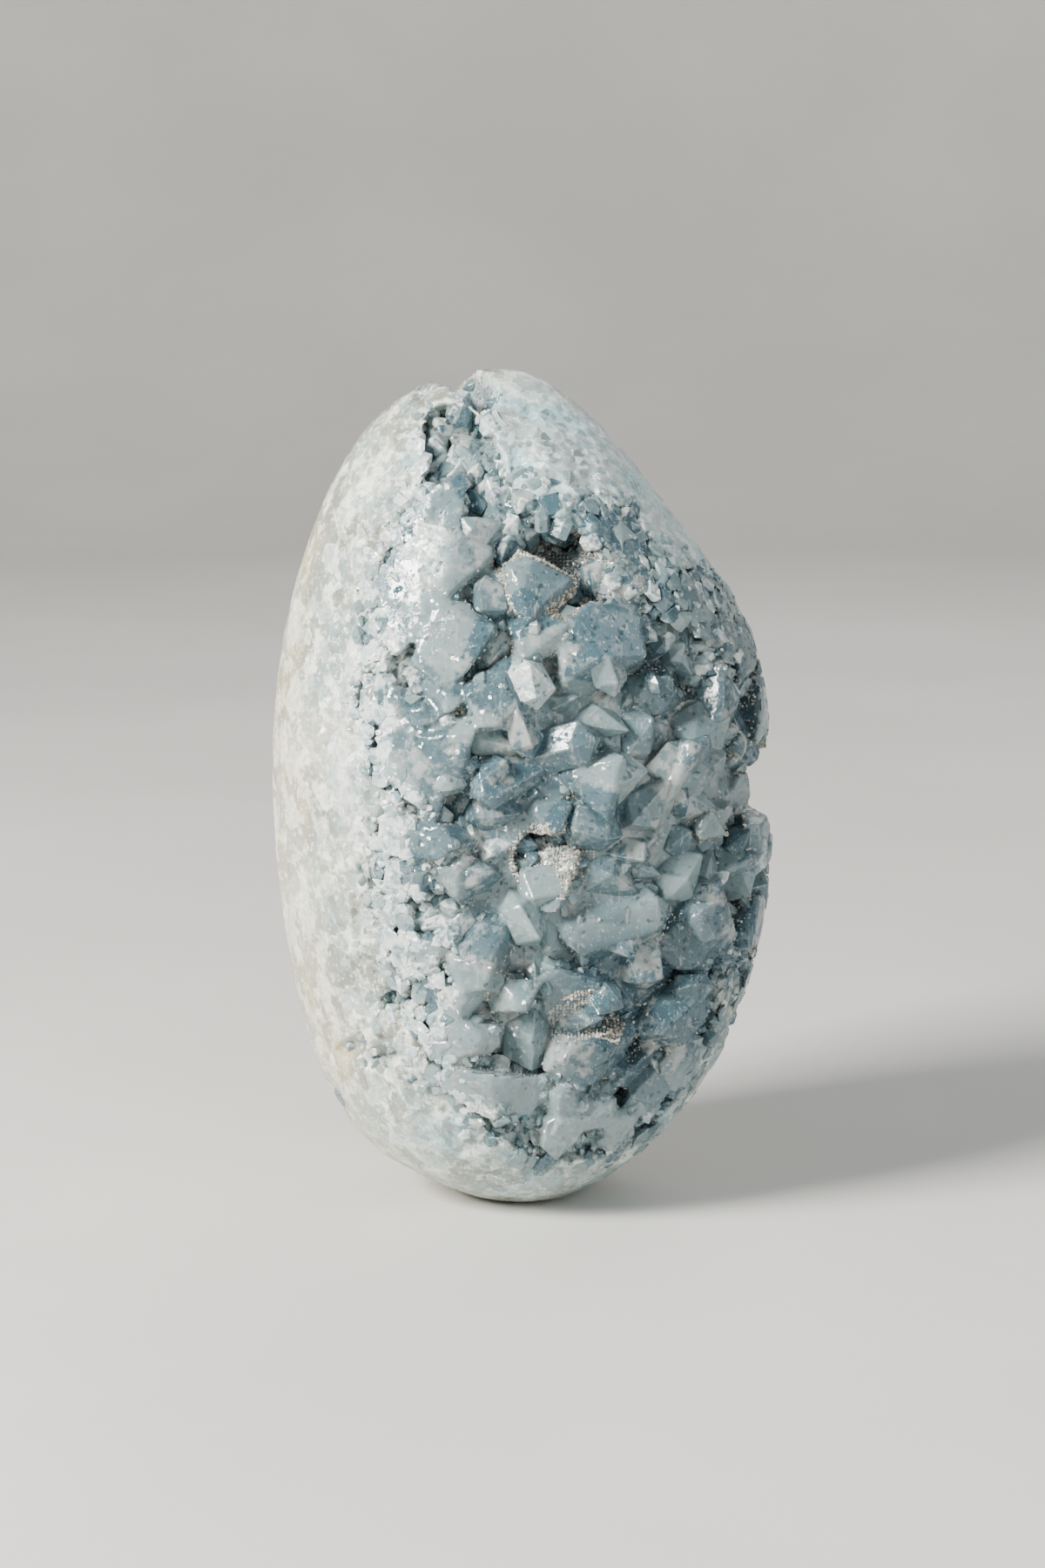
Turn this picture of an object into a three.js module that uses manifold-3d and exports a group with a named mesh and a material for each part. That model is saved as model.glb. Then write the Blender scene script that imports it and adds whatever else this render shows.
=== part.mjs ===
// A celestite geode ground to an egg: a polished pale stone that stands on a small flat spot,
// with a hollow in its front right side and one crust of blue crystals grown in that hollow.
// Millimetres, +Z up, the viewer in front looks along +Y, origin at the middle of the flat spot.
import * as THREE from 'three';
import { mergeVertices } from 'three/addons/utils/BufferGeometryUtils.js';
import Module from 'manifold-3d';

const wasm = await Module();
wasm.setup();

// Driving dimensions
const eggTop = 120; // height above the surface it stands on
const eggBottom = -1.2; // lowest point of the egg before its foot is ground flat
const gap = 0.3; // clearance between the stone and the crust
const eggAround = 38; // facets round the egg
const eggLevels = 24; // facets from foot to top

// How far the egg reaches from its axis at each height: [height, reach]
const reachLeft = [
  [eggBottom, 0], [2, 12.5], [9, 23.6], [20, 30], [40, 34.6], [60, 36.1], [80, 34.6],
  [100, 28.9], [110, 23.5], [116, 17.5], [eggTop, 2.5],
];
const reachRight = [
  [eggBottom, 0], [1, 9.5], [8, 19.3], [20, 28.5], [40, 35], [58, 36.2], [75, 34.8],
  [86, 31.4], [100, 21], [110, 13], [117, 5.2], [eggTop, -2.5],
];
const reachFront = [
  [eggBottom, 0], [2, 11.5], [9, 20.5], [25, 27.5], [50, 30.5], [75, 29.5], [95, 24],
  [110, 14.5], [117, 7], [eggTop, 0],
];
const reachBack = [
  [eggBottom, 0], [2, 12], [9, 21.5], [25, 29], [50, 31.5], [75, 30.5], [95, 25],
  [110, 15.5], [117, 7.5], [eggTop, 0],
];

// The hollow faces the front right, and its crystals lean towards a point out in front of it
const hollowYaw = THREE.MathUtils.degToRad(25);
const hollowFacing = new THREE.Vector3(Math.sin(hollowYaw), -Math.cos(hollowYaw), 0);
const hollowMiddle = new THREE.Vector3(13, -21, 55);
const crystalFocus = hollowMiddle.clone().addScaledVector(hollowFacing, 70);
const bedScale = 0.865; // the crust's bed is the hollow's share of an egg shrunk by this much
const bedMiddle = new THREE.Vector3(0, 5, 58);
const crownDepth = 0.7; // added to every main crystal's depth under the surface
const crystalGrowth = 1.3; // a crystal's body against the width of its crown

// Rounded lobes that make up the hollow: centre, half sizes along width, depth and height
const hollowLobes = [
  { at: [9, -23, 58], half: [29.5, 14, 34] },
  { at: [-1, -22, 80], half: [18, 15, 22] },
  { at: [-8.5, -13, 103], half: [5, 13, 14] },
  { at: [9, -21, 32], half: [20.5, 13, 23] },
  { at: [30, -7, 58], half: [12, 13, 26] },
];
// Grooves where the hollow breaks through the egg's outline, at the top and at the right side
const grooves = [
  { at: [-10, 2, 119.5], half: [2.6, 26, 6] },
  { at: [39.5, 0, 59], half: [7.5, 18, 6] },
];
// Deep pockets between the crystals
const pockets = [
  { at: [6, -23, 94.5], half: [9, 10, 7.5] },
  { at: [-8.5, -15, 109], half: [2.6, 9, 8] },
  { at: [4, -25, 54.5], half: [5, 10, 4.5] },
  { at: [9, -24, 31], half: [4.5, 9, 4] },
];

// The main crystals, placed as the viewer sees them: right and up of the foot, width, thickness,
// roll of the ridge from level, and how far the crown lies under the egg's surface
const viewTilt = THREE.MathUtils.degToRad(10); // the viewer looks down by this much
const mainCrystals = [
  // Top, round the groove
  [-9.2, 107, 5, 5, 80, 4], [-4.6, 102.5, 6, 5, 35, 3],
  // Upper row
  [-7, 93.5, 9.5, 9, 70, 0], [3.5, 94.5, 6, 5, 40, 6.5], [9.8, 92.4, 5, 5, 20, 3.5],
  [15.6, 89, 9, 6, 25, 0],
  // Under the upper pocket
  [-11.5, 84.5, 5, 4.5, 30, 1], [-5.5, 84.5, 11, 8, 20, 3], [0.8, 82, 8, 7, 50, 3],
  [5.4, 83.5, 7.5, 7, 15, 0], [15.8, 83.6, 7, 4, 10, 1], [23.8, 81.8, 8, 5.5, 150, 0],
  [29.4, 80, 6, 6, 60, 0], [19.6, 80, 6, 5, 140, 3],
  // Upper middle
  [-12.5, 78.5, 7, 5.5, 25, 1], [-7, 78, 7, 4.5, 40, 2], [-4.5, 75.5, 9, 4, 25, 1],
  [14.5, 78.5, 7, 7, 35, 0], [11.8, 73.5, 12, 9, 30, 0], [5, 76, 8, 6, 30, 1],
  [26.2, 77.4, 7, 6, 45, 1], [31.2, 74, 7, 7, 70, 0],
  // Middle
  [-13.5, 70, 4.5, 4.5, 10, 1], [-9.5, 67, 6, 5, 160, 1], [0.8, 66.6, 11, 10, 150, 0],
  [18.8, 70, 6, 8, 60, 1], [26.5, 69, 11, 10, 55, 0], [34, 67.5, 6.5, 8, 80, 0],
  [-10.8, 63, 8, 7, 5, 1], [-4.3, 61.5, 7, 9, 75, 2], [2, 58, 10, 6, 15, 2],
  [13.8, 58.2, 8.2, 9, 75, -1], [19, 64, 6, 5, 45, 4], [22.2, 59, 11.5, 4, 62, 1],
  [-9.5, 57.5, 8, 7, 70, 1],
  // Lower middle
  [-6.3, 50.2, 7, 4, 170, 1], [-10.5, 51, 5, 4.5, 40, 1], [-11, 45.5, 6, 5, 30, 1],
  [-5.8, 45.3, 6.5, 8, 85, 1], [7.5, 45.3, 8, 8, 65, 1], [11.5, 50, 6, 5, 30, 4],
  [18.7, 49.5, 8.5, 7, 40, 2], [25.7, 53.8, 4, 6.5, 70, 1], [29, 51, 7, 6, 45, 3],
  [33, 51, 5, 7, 120, 0], [31.4, 58, 6, 5, 60, 5], [30.5, 46.5, 6, 5, 20, 1],
  [32.4, 40, 7, 8.5, 65, 0],
  // Large blocks of the lower part
  [13.8, 39.4, 13, 9, 15, 1], [24.1, 38.3, 12, 11, 55, 0], [-1.9, 37.5, 11, 11, 60, 0],
  [-9, 36.5, 8, 8, 30, 0], [9.5, 32.8, 9, 6, 170, 2], [1.8, 30.4, 4.5, 4.5, 50, -1],
  [-6.4, 30.5, 6, 5, 20, 0], [21.7, 30.4, 9.5, 8, 50, 1], [27.2, 31.6, 7, 7, 65, 0],
  [13.2, 25, 11, 7.5, 35, 1], [-5.2, 26.5, 9, 5, 10, 0],
  // Foot of the hollow
  [17, 20.6, 7, 3.5, 42, 1], [22.6, 22, 7, 6, 40, -1], [19.5, 16.5, 5, 5, 30, 0],
  [-1.3, 20, 14, 11, 8, -1], [8, 19.5, 6, 9, 70, 1], [11, 14.8, 6, 8, 65, 0],
  [7, 12, 4.5, 4.5, 30, -1], [15.3, 13, 5, 5, 45, -1],
];
const crystalLength = 8.5; // from crown to root
const leanSpread = 16; // degrees by which a crystal leans from the focus

// Small crystals that fill the bed between the main ones and break up the hollow's rim
const fillerSpacing = 7.4;
const fillerWidth = [3.4, 5.4];
const fillerSink = [1, 3.6];
const fillerTurns = [-110, 20]; // degrees round the egg that the hollow spans, 0 at its right side
const fillerHeights = [8, 108];

// Face angles of celestite, from its cell: prism faces to the basal face, chisel to basal, corner to axis
const prismAngle = THREE.MathUtils.degToRad(52.7);
const chiselAngle = THREE.MathUtils.degToRad(39.4);
const cornerAngle = THREE.MathUtils.degToRad(38);

// Natural pits left in the polished skin: right, up, width, thickness, roll
const skinPits = [
  [-18.5, 29.5, 7, 1.6, 12], [-22, 20.4, 3.2, 2.4, 30], [-25.5, 21.5, 2.4, 4.4, 65],
  [-20.5, 46, 2.2, 4.6, 80], [-18, 47.8, 2, 2.6, 20], [-28, 15.5, 2.2, 4.5, 60],
  [-19, 63, 2.6, 2, 15],
];
const pitDepth = 1.6;

// Repeatable random numbers from 0 to 1
function seededRandom(seed) {
  let state = seed;
  return () => {
    state = (state + 0x6d2b79f5) | 0;
    let mixed = Math.imul(state ^ (state >>> 15), 1 | state);
    mixed = (mixed + Math.imul(mixed ^ (mixed >>> 7), 61 | mixed)) ^ mixed;
    return ((mixed ^ (mixed >>> 14)) >>> 0) / 4294967296;
  };
}
const random = seededRandom(7);
const between = ([low, high]) => low + (high - low) * random();

// Solids and geometries
function solidOf(geometry) {
  const bare = geometry.clone();
  bare.deleteAttribute('normal');
  bare.deleteAttribute('uv');
  const merged = mergeVertices(bare, 1e-5);
  return new wasm.Manifold(new wasm.Mesh({
    numProp: 3,
    vertProperties: merged.attributes.position.array,
    triVerts: new Uint32Array(merged.index.array),
  }));
}

function geometryOf(solid) {
  const mesh = solid.getMesh();
  const geometry = new THREE.BufferGeometry();
  geometry.setAttribute('position', new THREE.BufferAttribute(mesh.vertProperties, 3));
  geometry.setIndex(new THREE.BufferAttribute(mesh.triVerts, 1));
  geometry.computeVertexNormals();
  return geometry;
}

const largestBody = (solid) =>
  solid.decompose().reduce((largest, body) => (body.volume() > largest.volume() ? body : largest));
const joined = (solids) => wasm.Manifold.union(solids);

// The egg: a stack of ellipses between the four reach profiles
const levelOf = (height) => Math.acos(1 - (2 * (height - eggBottom)) / (eggTop - eggBottom)) / Math.PI;
function profile(points) {
  const levels = points.map(([z]) => levelOf(z));
  const reaches = points.map(([, reach]) => reach);
  const curve = new THREE.CubicInterpolant(levels, reaches, 1);
  return (level) => curve.evaluate(level)[0];
}
const [left, right, front, back] = [reachLeft, reachRight, reachFront, reachBack].map(profile);

function section(level) {
  return {
    x: (right(level) - left(level)) / 2,
    y: (back(level) - front(level)) / 2,
    halfWidth: (right(level) + left(level)) / 2,
    halfDepth: (back(level) + front(level)) / 2,
    z: eggBottom + ((eggTop - eggBottom) * (1 - Math.cos(Math.PI * level))) / 2,
  };
}

function eggPoint(level, turn) {
  const { x, y, z, halfWidth, halfDepth } = section(level);
  return new THREE.Vector3(x + halfWidth * Math.cos(turn), y + halfDepth * Math.sin(turn), z);
}

function makeEgg(around, levels) {
  const shape = new THREE.SphereGeometry(1, around, levels);
  const places = shape.getAttribute('position');
  for (let i = 0; i < places.count; i++) {
    const level = Math.acos(THREE.MathUtils.clamp(-places.getY(i), -1, 1)) / Math.PI;
    places.setXYZ(i, ...eggPoint(level, Math.atan2(-places.getZ(i), places.getX(i))));
  }
  return solidOf(shape).trimByPlane([0, 0, 1], 0);
}

// The egg's front surface where the viewer's line of sight at (right, up) meets it
function seenPoint(x, up) {
  let y = -20;
  for (let step = 0; step < 12; step++) {
    const z = THREE.MathUtils.clamp((up - y * Math.sin(viewTilt)) / Math.cos(viewTilt), 1, eggTop - 1);
    const ring = section(levelOf(z));
    const across = THREE.MathUtils.clamp((x - ring.x) / ring.halfWidth, -0.98, 0.98);
    y = ring.y - ring.halfDepth * Math.sqrt(1 - across * across);
  }
  return new THREE.Vector3(x, y, (up - y * Math.sin(viewTilt)) / Math.cos(viewTilt));
}

// A rounded lobe turned to face the way the hollow does
function lobe({ at, half }, margin) {
  const ball = new THREE.IcosahedronGeometry(1, 2);
  ball.scale(half[0] + margin, half[1] + margin, half[2] + margin);
  ball.rotateZ(hollowYaw);
  ball.translate(...at);
  return solidOf(ball);
}

function inLobe(point, { at, half }) {
  const local = point.clone().sub(new THREE.Vector3(...at));
  local.applyAxisAngle(new THREE.Vector3(0, 0, 1), -hollowYaw);
  return Math.hypot(local.x / half[0], local.y / half[1], local.z / half[2]) < 1;
}

// A crystal as the flat faces that bound it, each [outward normal, distance], with its axis along +Z:
// six prism faces and a root, then a chisel of two faces, two corner faces and a blunt tip
function crystalFaces(width, thickness) {
  const halfWidth = (crystalGrowth * width) / 2;
  const halfThick = (crystalGrowth * thickness) / 2;
  const uneven = (size) => size * between([-0.22, 0.22]);
  const faces = [[[0, 0, -1], crystalLength], [[0, 0, 1], -halfThick * between([0.05, 0.35])]];
  for (const side of [-1, 1]) {
    faces.push([[0, side, 0], halfThick]);
    faces.push([[0, side * Math.cos(chiselAngle), Math.sin(chiselAngle)], uneven(halfThick)]);
    const ridge = halfWidth * between([0.3, 0.75]);
    faces.push([[side * Math.sin(cornerAngle), 0, Math.cos(cornerAngle)], ridge * Math.sin(cornerAngle)]);
    for (const face of [-1, 1]) {
      const reach = halfWidth * between([0.88, 1.08]) * Math.sin(prismAngle);
      faces.push([[side * Math.sin(prismAngle), face * Math.cos(prismAngle), 0], reach]);
    }
  }
  return faces;
}

function boundedBy(faces, margin) {
  const size = 4 * crystalLength;
  let body = solidOf(new THREE.BoxGeometry(size, size, size));
  for (const [normal, distance] of faces) {
    body = body.trimByPlane(normal.map((n) => -n), -(distance + margin));
  }
  return body;
}

// Where a crystal stands: its crown under a point of the egg, its axis leaning from the focus
function crystalPlace(surface, roll, sink) {
  const axis = crystalFocus.clone().sub(surface).normalize();
  const lean = () => THREE.MathUtils.degToRad(between([-leanSpread, leanSpread]));
  axis.applyEuler(new THREE.Euler(lean(), 0, lean()));
  const level = new THREE.Vector3(1, 0, 0).addScaledVector(axis, -axis.x).normalize();
  const ridge = level.applyAxisAngle(axis, THREE.MathUtils.degToRad(roll));
  const place = new THREE.Matrix4().makeBasis(ridge, axis.clone().cross(ridge), axis);
  return place.setPosition(surface.clone().addScaledVector(axis, -sink));
}

function makeCrystal(surface, width, thickness, roll, sink) {
  const faces = crystalFaces(width, thickness);
  const place = crystalPlace(surface, roll, sink);
  const grown = (margin) => boundedBy(faces, margin).transform(place.toArray());
  return { surface, reach: (crystalGrowth * width) / 2, solid: grown(0), socket: grown(gap) };
}

function fillersAmong(others) {
  const made = [];
  for (let z = fillerHeights[0]; z < fillerHeights[1]; z += fillerSpacing) {
    const level = levelOf(z + between([-1, 1]));
    const step = THREE.MathUtils.radToDeg(fillerSpacing / section(level).halfWidth);
    for (let turn = fillerTurns[0]; turn < fillerTurns[1]; turn += step) {
      const surface = eggPoint(level, THREE.MathUtils.degToRad(turn + step * between([-0.3, 0.3])));
      const deep = surface.clone().addScaledVector(hollowFacing, -1);
      const covered = others.some((each) => surface.distanceTo(each.surface) < each.reach);
      const open = [...grooves, ...pockets].some((each) => inLobe(surface, each));
      if (covered || open || !hollowLobes.some((each) => inLobe(deep, each))) continue;
      const width = between(fillerWidth);
      const thickness = width * between([0.6, 0.95]);
      made.push(makeCrystal(surface, width, thickness, between([0, 180]), between(fillerSink)));
    }
  }
  return made;
}

// The pieces
const egg = makeEgg(eggAround, eggLevels);
const placed = mainCrystals.map(([x, up, width, thickness, roll, sink]) =>
  makeCrystal(seenPoint(x, up), width, thickness, roll, sink + crownDepth));
const crystals = [...placed, ...fillersAmong(placed)];

function makeCrust() {
  const coarse = makeEgg(eggAround / 2, eggLevels / 2);
  const centred = coarse.translate(bedMiddle.clone().negate().toArray());
  const inner = centred.scale(bedScale).translate(bedMiddle.toArray());
  const bed = joined(hollowLobes.map((each) => lobe(each, 0))).intersect(inner);
  const open = joined(pockets.map((each) => lobe(each, 0)));
  const cut = joined(grooves.map((each) => lobe(each, 0)));
  const grown = joined([bed.subtract(open), ...crystals.map(({ solid }) => solid)]).intersect(egg);
  return largestBody(grown.subtract(cut).simplify(0.08));
}

function makeStone(crust) {
  const rooted = crystals.filter(({ solid }) => solid.intersect(crust).volume() > 1);
  const sockets = rooted.map(({ socket }) => socket);
  const hollow = joined([...hollowLobes, ...grooves].map((each) => lobe(each, gap)));
  const pits = skinPits.map(([x, up, width, thickness, roll]) =>
    makeCrystal(seenPoint(x, up), width, thickness, roll, -crystalLength + pitDepth).solid);
  return largestBody(egg.subtract(joined([hollow, ...sockets, ...pits])).simplify(0.08));
}

function piece(name, solid, material) {
  const mesh = new THREE.Mesh(geometryOf(solid), new THREE.MeshStandardMaterial(material));
  mesh.name = name;
  return mesh;
}

const geode = new THREE.Group();
const crust = makeCrust();
geode.add(piece('geode_stone', makeStone(crust), { color: 0xcfd2cb, roughness: 0.35, metalness: 0 }));
geode.add(piece('crystal_crust', crust, { color: 0x86a3b3, roughness: 0.15, metalness: 0 }));
export default geode;
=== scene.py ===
import math
import random

import bmesh
import bpy
import numpy as np
from mathutils import Matrix, Vector, noise
from mathutils.bvhtree import BVHTree
from mathutils.kdtree import KDTree


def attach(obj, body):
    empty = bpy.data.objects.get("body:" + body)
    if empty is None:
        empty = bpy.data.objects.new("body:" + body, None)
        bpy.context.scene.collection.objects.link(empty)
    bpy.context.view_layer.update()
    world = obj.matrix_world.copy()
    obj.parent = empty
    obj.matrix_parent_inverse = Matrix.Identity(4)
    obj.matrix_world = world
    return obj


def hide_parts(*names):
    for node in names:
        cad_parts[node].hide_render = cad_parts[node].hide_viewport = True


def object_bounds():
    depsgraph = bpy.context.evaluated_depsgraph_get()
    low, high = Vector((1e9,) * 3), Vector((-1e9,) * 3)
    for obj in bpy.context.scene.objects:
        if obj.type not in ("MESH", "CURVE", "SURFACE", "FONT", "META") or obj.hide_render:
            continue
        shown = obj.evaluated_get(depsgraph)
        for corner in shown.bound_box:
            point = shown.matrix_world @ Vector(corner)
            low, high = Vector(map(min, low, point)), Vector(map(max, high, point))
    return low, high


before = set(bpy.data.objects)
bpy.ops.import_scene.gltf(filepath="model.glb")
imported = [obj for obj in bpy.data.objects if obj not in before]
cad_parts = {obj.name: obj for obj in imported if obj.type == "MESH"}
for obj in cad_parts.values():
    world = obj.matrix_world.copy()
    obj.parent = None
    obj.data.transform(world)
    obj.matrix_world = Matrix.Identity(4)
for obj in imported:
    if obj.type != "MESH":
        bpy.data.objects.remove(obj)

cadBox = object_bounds()
scene = bpy.context.scene
mm = 0.001
noise.seed_set(1)  # the noise offsets come from the clock otherwise


def weldedCopy(nodeName):
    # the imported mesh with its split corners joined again
    bm = bmesh.new()
    bm.from_mesh(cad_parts[nodeName].data)
    bmesh.ops.remove_doubles(bm, verts=bm.verts, dist=1e-6)
    bm.normal_update()
    return bm


def makeObject(name, mesh):
    made = bpy.data.objects.new(name, mesh)
    scene.collection.objects.link(made)
    return made


def remeshed(name, bm, voxel):
    # an even mesh over the solid, its sharp edges worn round by about one voxel
    raw = bpy.data.meshes.new(name + "_raw")
    bm.to_mesh(raw)
    holder = makeObject(name + "_raw", raw)
    grid = holder.modifiers.new("grid", "REMESH")
    grid.mode = "VOXEL"
    grid.voxel_size = voxel
    settled = holder.evaluated_get(bpy.context.evaluated_depsgraph_get())
    mesh = bpy.data.meshes.new_from_object(settled)
    bpy.data.objects.remove(holder)
    bpy.data.meshes.remove(raw)
    mesh.name = name
    mesh.shade_smooth()
    return makeObject(name, mesh)


def points(mesh):
    flat = np.empty(len(mesh.vertices) * 3)
    mesh.vertices.foreach_get("co", flat)
    return flat.reshape(-1, 3)


def normals(mesh):
    flat = np.empty(len(mesh.vertices) * 3)
    mesh.vertices.foreach_get("normal", flat)
    return flat.reshape(-1, 3)


def setPoints(mesh, places):
    mesh.vertices.foreach_set("co", np.ascontiguousarray(places, dtype=np.float32).ravel())
    mesh.update()


def storeValues(mesh, name, values, domain="POINT"):
    layer = mesh.attributes.new(name, "FLOAT", domain)
    layer.data.foreach_set("value", np.asarray(values, dtype=np.float32))


# Solids to measure against: stone, crust and the egg's whole skin
stoneSolid = weldedCopy("geode_stone")
crustSolid = weldedCopy("crystal_crust")
stoneTree = BVHTree.FromBMesh(stoneSolid)
crustTree = BVHTree.FromBMesh(crustSolid)
eggSolid = bmesh.new()
for nodeName in ("geode_stone", "crystal_crust"):
    eggSolid.from_mesh(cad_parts[nodeName].data)
hull = bmesh.ops.convex_hull(eggSolid, input=eggSolid.verts, use_existing_faces=False)
skinFaces = set(hull["geom"])
buried = [face for face in eggSolid.faces if face not in skinFaces]
bmesh.ops.delete(eggSolid, geom=buried, context="FACES_ONLY")
bmesh.ops.recalc_face_normals(eggSolid, faces=eggSolid.faces)
eggTree = BVHTree.FromBMesh(eggSolid)


def distances(tree, places):
    return np.array([tree.find_nearest(Vector(p))[3] for p in places])


def openness(places, directions, rays, reach, seed):
    # share of the rays from each point that leave without meeting stone or crystal
    rng = np.random.default_rng(seed)
    fan = rng.normal(size=(rays, 3))
    fan /= np.linalg.norm(fan, axis=1)[:, None]
    free = np.zeros(len(places))
    for i, (p, n) in enumerate(zip(places, directions)):
        start = Vector(p + n * 0.25 * mm)
        for ray in fan:
            way = Vector(ray + n * 1.02)
            way.normalize()
            met = crustTree.ray_cast(start, way, reach)[0]
            if met is None:
                met = stoneTree.ray_cast(start, way, reach)[0]
            if met is None:
                free[i] += 1
    return free / rays


def edginess(mesh, places, outward):
    # above zero on edges that stand out, below zero along joints
    ends = np.empty(len(mesh.edges) * 2, dtype=np.int32)
    mesh.edges.foreach_get("vertices", ends)
    a, b = ends.reshape(-1, 2).T
    step = places[b] - places[a]
    length = np.linalg.norm(step, axis=1) + 1e-9
    bend, count = np.zeros(len(places)), np.zeros(len(places))
    np.add.at(bend, a, -(step * outward[a]).sum(axis=1) / length)
    np.add.at(bend, b, (step * outward[b]).sum(axis=1) / length)
    np.add.at(count, a, 1)
    np.add.at(count, b, 1)
    return bend / np.maximum(count, 1)


def plainness(places, edge, exposed):
    # distance to the nearest sharp edge or joint: large on broad bare faces
    sharp = np.flatnonzero((np.abs(edge) > 0.16) & exposed)
    tree = KDTree(len(sharp))
    for i in sharp:
        tree.insert(Vector(places[i]), int(i))
    tree.balance()
    return np.array([tree.find(Vector(p))[2] for p in places])


def smooth(value, low, high):
    t = np.clip((value - low) / (high - low), 0, 1)
    return t * t * (3 - 2 * t)


print("solids measured")


# Node helpers
def node(tree, kind, inputs=None, **settings):
    made = tree.nodes.new(kind)
    for key, value in settings.items():
        setattr(made, key, value)
    for key, value in (inputs or {}).items():
        if isinstance(value, bpy.types.NodeSocket):
            tree.links.new(value, made.inputs[key])
        else:
            made.inputs[key].default_value = value
    return made


def mixed(tree, share, first, second):
    return node(tree, "ShaderNodeMix", {0: share, 6: first, 7: second}, data_type="RGBA").outputs[2]


def ramped(tree, value, low, high, start=0.0, end=1.0):
    inputs = {"Value": value, "From Min": low, "From Max": high, "To Min": start, "To Max": end}
    return node(tree, "ShaderNodeMapRange", inputs, interpolation_type="SMOOTHSTEP").outputs[0]


def calc(tree, how, first, second):
    return node(tree, "ShaderNodeMath", {0: first, 1: second}, operation=how).outputs[0]


def times(tree, first, second):
    return calc(tree, "MULTIPLY", first, second)


def vectors(tree, how, inputs):
    return node(tree, "ShaderNodeVectorMath", inputs, operation=how).outputs[0]


def cloud(tree, place, scale, detail=4.0, rough=0.55):
    inputs = {"Vector": place, "Scale": scale, "Detail": detail, "Roughness": rough}
    return node(tree, "ShaderNodeTexNoise", inputs).outputs[0]


def objectPlace(tree):
    return node(tree, "ShaderNodeTexCoord").outputs["Object"]


def attribute(tree, name):
    return node(tree, "ShaderNodeAttribute", attribute_name=name).outputs["Fac"]


def glints(tree, place, size, tilt, rare=0.0):
    # every small cell of the surface leans its own way, a few of them far enough to flash
    lean = node(tree, "ShaderNodeTexVoronoi", {"Vector": place, "Scale": 1 / size}).outputs["Color"]
    chance = node(tree, "ShaderNodeSeparateColor", {0: lean}).outputs[2]
    flash = ramped(tree, chance, 0.80, 0.82, 0.0, rare)
    lean = vectors(tree, "SUBTRACT", {0: lean, 1: (0.5, 0.5, 0.5)})
    lean = vectors(tree, "SCALE", {0: lean, "Scale": calc(tree, "ADD", flash, tilt)})
    plain = node(tree, "ShaderNodeNewGeometry").outputs["Normal"]
    turned = vectors(tree, "ADD", {0: plain, 1: lean})
    return vectors(tree, "NORMALIZE", {0: turned})


def bumped(tree, shader, height, strength, distance, leaning):
    inputs = {"Height": height, "Strength": strength, "Distance": distance, "Normal": leaning}
    tree.links.new(node(tree, "ShaderNodeBump", inputs).outputs[0], shader.inputs["Normal"])


def newMaterial(name):
    material = bpy.data.materials.new(name)
    material.use_nodes = True
    return material, material.node_tree, material.node_tree.nodes["Principled BSDF"]


refraction = 1.62  # of celestite

# Polished stone
stoneLook = {
    "voxel": 0.63 * mm,
    "blocks": 5.0 * mm,  # crystals cut through by the polish
    "grain": 2.1 * mm,
    "blockRelief": 1.2 * mm,  # how deep they broke out beside the hollow
    "grainRelief": 0.32 * mm,
    "fadeOut": 17 * mm,  # distance from the crystals at which the skin is whole again
    "white": (0.74, 0.75, 0.68, 1),
    "grey": (0.24, 0.255, 0.225, 1),
    "rind": (0.56, 0.50, 0.33, 1),
    "blue": (0.33, 0.51, 0.55, 1),
    "hollow": (0.25, 0.32, 0.36, 1),
    "dull": (0.27, 0.345, 0.35, 1),
    "vein": (0.72, 0.77, 0.77, 1),
    "brightGrain": (0.90, 0.90, 0.84, 1),
    "darkGrain": (0.34, 0.33, 0.27, 1),
    "cutCrystal": (0.53, 0.73, 0.77, 1),
    "upright": (1.0, 1.0, 0.22),  # draws the rind out in upright streaks
}


def facetDrop(point, size, steepness):
    # depth of a flat, tilted facet per cell, and a random tone for the cell
    bend = noise.noise_vector(point / (size * 2.2)) * 0.28
    here = point / size + bend
    seed = noise.voronoi(here)[1][0]
    lean = noise.cell_vector(seed * 5.37 + Vector((3.1, 7.7, 1.3))) - Vector((0.5, 0.5, 0.5))
    tone = noise.cell_vector(seed * 9.11)[0]
    return max(0.0, 0.35 + steepness * (here - seed).dot(lean) + 0.6 * (tone - 0.5)), tone


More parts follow.
